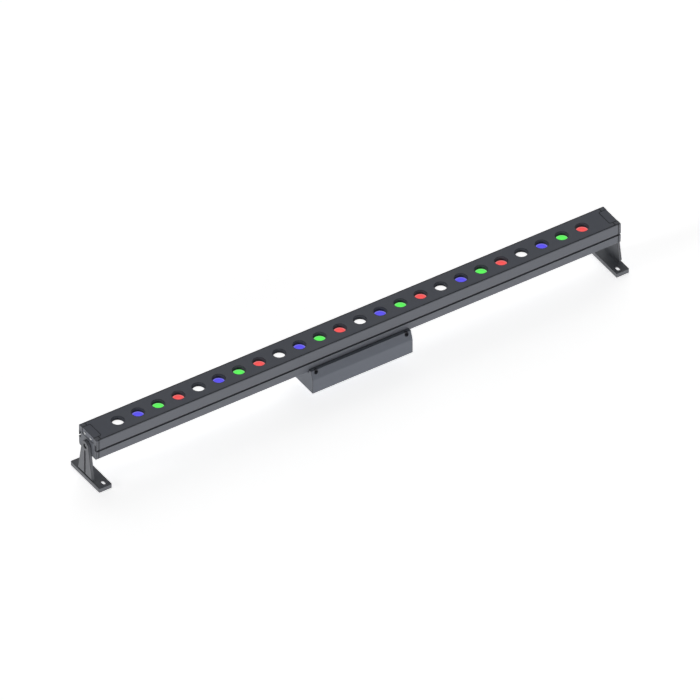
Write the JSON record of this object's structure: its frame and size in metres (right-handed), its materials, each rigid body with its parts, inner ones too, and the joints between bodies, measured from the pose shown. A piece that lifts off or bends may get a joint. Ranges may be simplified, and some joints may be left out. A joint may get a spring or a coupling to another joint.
{
  "type": "outdoor wall washer light",
  "caption": "Slim outdoor wall washer bar with a row of coloured lights, tilting between end brackets on slotted feet, with a driver box slung below its middle.",
  "frame": {"origin": "on the mounting plane under the feet, midway between them: the bottom centre of the bounding box", "axes": "+X along the bar towards the end where the cable leaves the driver box, +Y to the back, +Z away from the mounting plane, the way the lights face at rest"},
  "size_m": [1.0108, 0.084, 0.093],
  "materials": {
    "bar_paint": "grey satin powder coat",
    "face_paint": "grey satin powder coat",
    "bracket_paint": "grey satin powder coat",
    "box_paint": "grey satin powder coat",
    "steel": "satin",
    "dark_steel": "blackened",
    "seal_rubber": "matt",
    "washer_plastic": "matt",
    "pad_grey": "matt",
    "board_white": "white solder mask",
    "board_green": "satin solder mask",
    "led_package": "gloss",
    "winding_yellow": "taped winding",
    "capacitor_black": "gloss sleeve",
    "wire_plastic": "satin",
    "gland_black": "satin",
    "lens_white": "polished",
    "lens_blue": "polished",
    "lens_green": "polished",
    "lens_red": "polished"
  },
  "bodies": {
    "left_bracket": {"bracket_left": "bracket_paint"},
    "lamp": {"box_lid": "box_paint", "box_screws": "dark_steel", "capacitors": "capacitor_black", "clip_screws": "steel", "driver_board": "board_green", "driver_box": "box_paint", "end_cap_left": "bar_paint", "end_cap_right": "bar_paint", "end_cap_screws": "steel", "end_clip_left": "face_paint", "end_clip_right": "face_paint", "end_gaskets": "seal_rubber", "face_gasket": "seal_rubber", "face_plate": "face_paint", "friction_washers": "washer_plastic", "gland_body": "gland_black", "gland_lock_nut": "gland_black", "gland_nut": "gland_black", "gland_seal": "seal_rubber", "housing": "bar_paint", "lead_wires": "wire_plastic", "led_board_left": "board_white", "led_board_right": "board_white", "leds_blue": "led_package", "leds_green": "led_package", "leds_red": "led_package", "leds_white": "led_package", "lens_01_white": "lens_white", "lens_02_blue": "lens_blue", "lens_03_green": "lens_green", "lens_04_red": "lens_red", "lens_05_white": "lens_white", "lens_06_blue": "lens_blue", "lens_07_green": "lens_green", "lens_08_red": "lens_red", "lens_09_white": "lens_white", "lens_10_blue": "lens_blue", "lens_11_green": "lens_green", "lens_12_red": "lens_red", "lens_13_white": "lens_white", "lens_14_blue": "lens_blue", "lens_15_green": "lens_green", "lens_16_red": "lens_red", "lens_17_white": "lens_white", "lens_18_blue": "lens_blue", "lens_19_green": "lens_green", "lens_20_red": "lens_red", "lens_21_white": "lens_white", "lens_22_blue": "lens_blue", "lens_23_green": "lens_green", "lens_24_red": "lens_red", "lid_gasket": "seal_rubber", "lid_screws": "steel", "pivot_bolts": "steel", "thermal_pads": "pad_grey", "transformer": "winding_yellow", "wire_grommet": "seal_rubber"},
    "right_bracket": {"bracket_right": "bracket_paint"}
  },
  "joints": [
    {"name": "lamp_tilt", "type": "hinge", "parent": "left_bracket", "child": "lamp", "pos_m": [-0.5, 0, 0.0677], "axis": [1, 0, 0], "range_deg": [-90, 90]},
    {"name": "right_bracket_tilt", "type": "hinge", "parent": "lamp", "child": "right_bracket", "pos_m": [0.5, 0, 0.0677], "axis": [1, 0, 0], "range_deg": [-90, 90]}
  ],
  "couplings": [
    {"joint": "right_bracket_tilt", "follows": "lamp_tilt", "ratio": -1}
  ]
}
